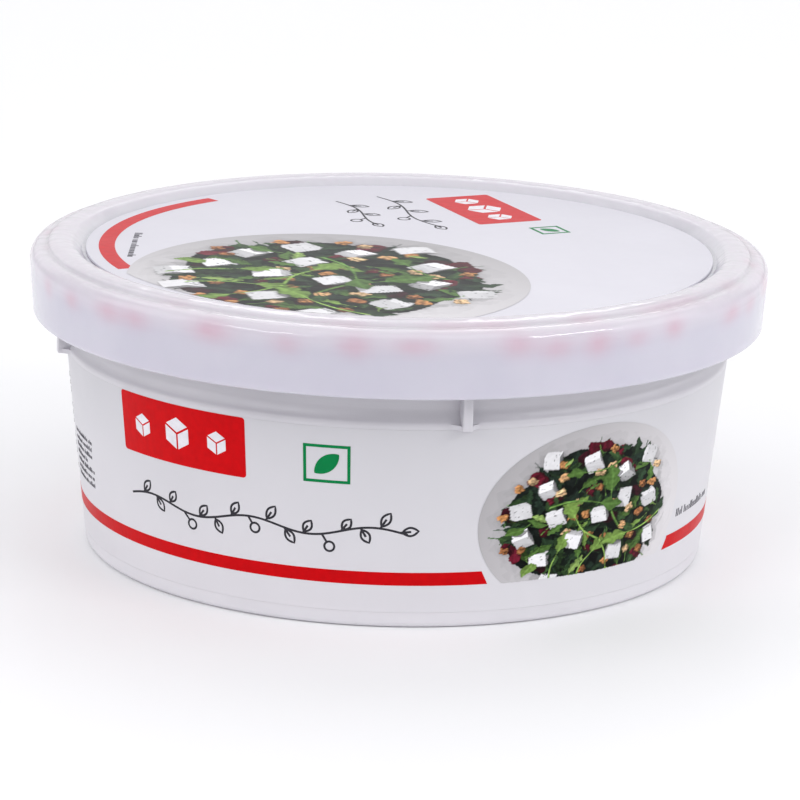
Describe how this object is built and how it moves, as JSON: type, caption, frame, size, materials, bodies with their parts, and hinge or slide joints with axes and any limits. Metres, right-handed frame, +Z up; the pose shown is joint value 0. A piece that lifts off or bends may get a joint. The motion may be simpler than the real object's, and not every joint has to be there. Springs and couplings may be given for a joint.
{
  "type": "shut tub of cheese in brine",
  "caption": "Shut round white plastic tub of white cheese in brine, with a milky press-on lid, a wrap-round wall label and a round lid label.",
  "frame": {"origin": "centre of the tub's foot, on the surface it stands on", "axes": "+Z up along the tub's axis; -Y is the front, where the wall print faces; +X is to the right seen from the front"},
  "size_m": [0.115, 0.115, 0.048],
  "materials": {
    "tub": "white moulded plastic, satin gloss",
    "lid": "milky see-through moulded plastic, soft gloss, with pink print showing through its ring",
    "wall_print": "white printed film moulded into the wall, soft gloss",
    "lid_print": "white printed film moulded into the lid, soft gloss"
  },
  "bodies": {
    "root": {"tub": "tub", "lid": "lid", "tub_label": "wall_print", "lid_label": "lid_print"}
  },
  "joints": []
}
